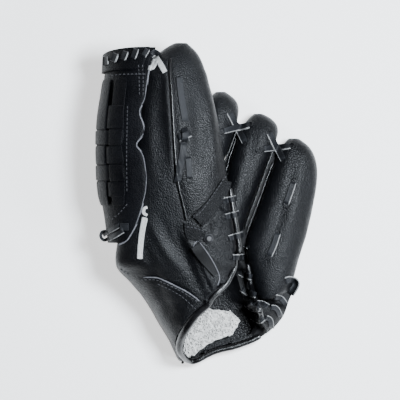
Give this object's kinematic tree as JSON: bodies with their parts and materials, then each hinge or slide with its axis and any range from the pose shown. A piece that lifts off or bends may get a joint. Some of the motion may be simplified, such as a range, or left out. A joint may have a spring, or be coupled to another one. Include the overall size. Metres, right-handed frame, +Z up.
{
  "type": "baseball glove",
  "caption": "Black fielding glove with a woven web, folded shut and lying on the backs of its fingers, thumb on top, hand opening towards the wrist.",
  "frame": {"origin": "under the middle of the bounding box, on the surface the glove lies on", "axes": "+X from the web to the little finger, +Y from the wrist to the fingertips, +Z up from the surface"},
  "size_m": [0.2142, 0.305, 0.1045],
  "materials": {
    "leather": "pebbled black artificial leather, satin",
    "binding_leather": "smooth black artificial leather, glossy",
    "lace": "flat black lace, satin",
    "lace_back": "off-white back of the laces, matt",
    "fleece": "off-white fleece pile",
    "snap": "black press snap, satin"
  },
  "bodies": {
    "root": {"finger_lace_a_over": "lace", "finger_lace_a_under": "lace", "finger_lace_b_over": "lace", "finger_lace_b_under": "lace", "finger_stall_index": "leather", "finger_stall_middle": "leather", "finger_stall_pinky": "leather", "finger_stall_ring": "leather", "fleece_lining": "fleece", "hand_shell": "leather", "heel_edge": "binding_leather", "heel_edge_lace_1": "lace", "heel_edge_lace_2": "lace", "heel_edge_lace_3": "lace", "heel_roll": "binding_leather", "heel_roll_lace_1": "lace", "heel_roll_lace_2": "lace", "heel_roll_lace_3": "lace", "heel_roll_lace_4": "lace", "palm_flap": "leather", "pinky_lace_dash_1": "lace", "pinky_lace_dash_2": "lace", "piping_middle_right": "binding_leather", "piping_pinky_left": "binding_leather", "piping_ring_left": "binding_leather", "piping_ring_right": "binding_leather", "pocket_band": "leather", "snap_button": "snap", "thumb_lace_dash": "lace", "thumb_lace_knot": "lace", "thumb_lace_lower_tail": "lace", "thumb_lace_upper_tail": "lace", "thumb_piping": "binding_leather", "web_lace_white_tail": "lace_back", "web_panel": "leather", "web_strap_cross_1": "leather", "web_strap_cross_2": "leather", "web_strap_cross_3": "leather", "web_strap_cross_4": "leather", "web_strap_cross_5": "leather", "web_strap_down_1": "leather", "web_strap_down_2": "leather", "web_top_band": "leather", "web_top_tail_long": "lace_back", "wrist_binding": "binding_leather", "wrist_strap": "leather"}
  },
  "joints": []
}
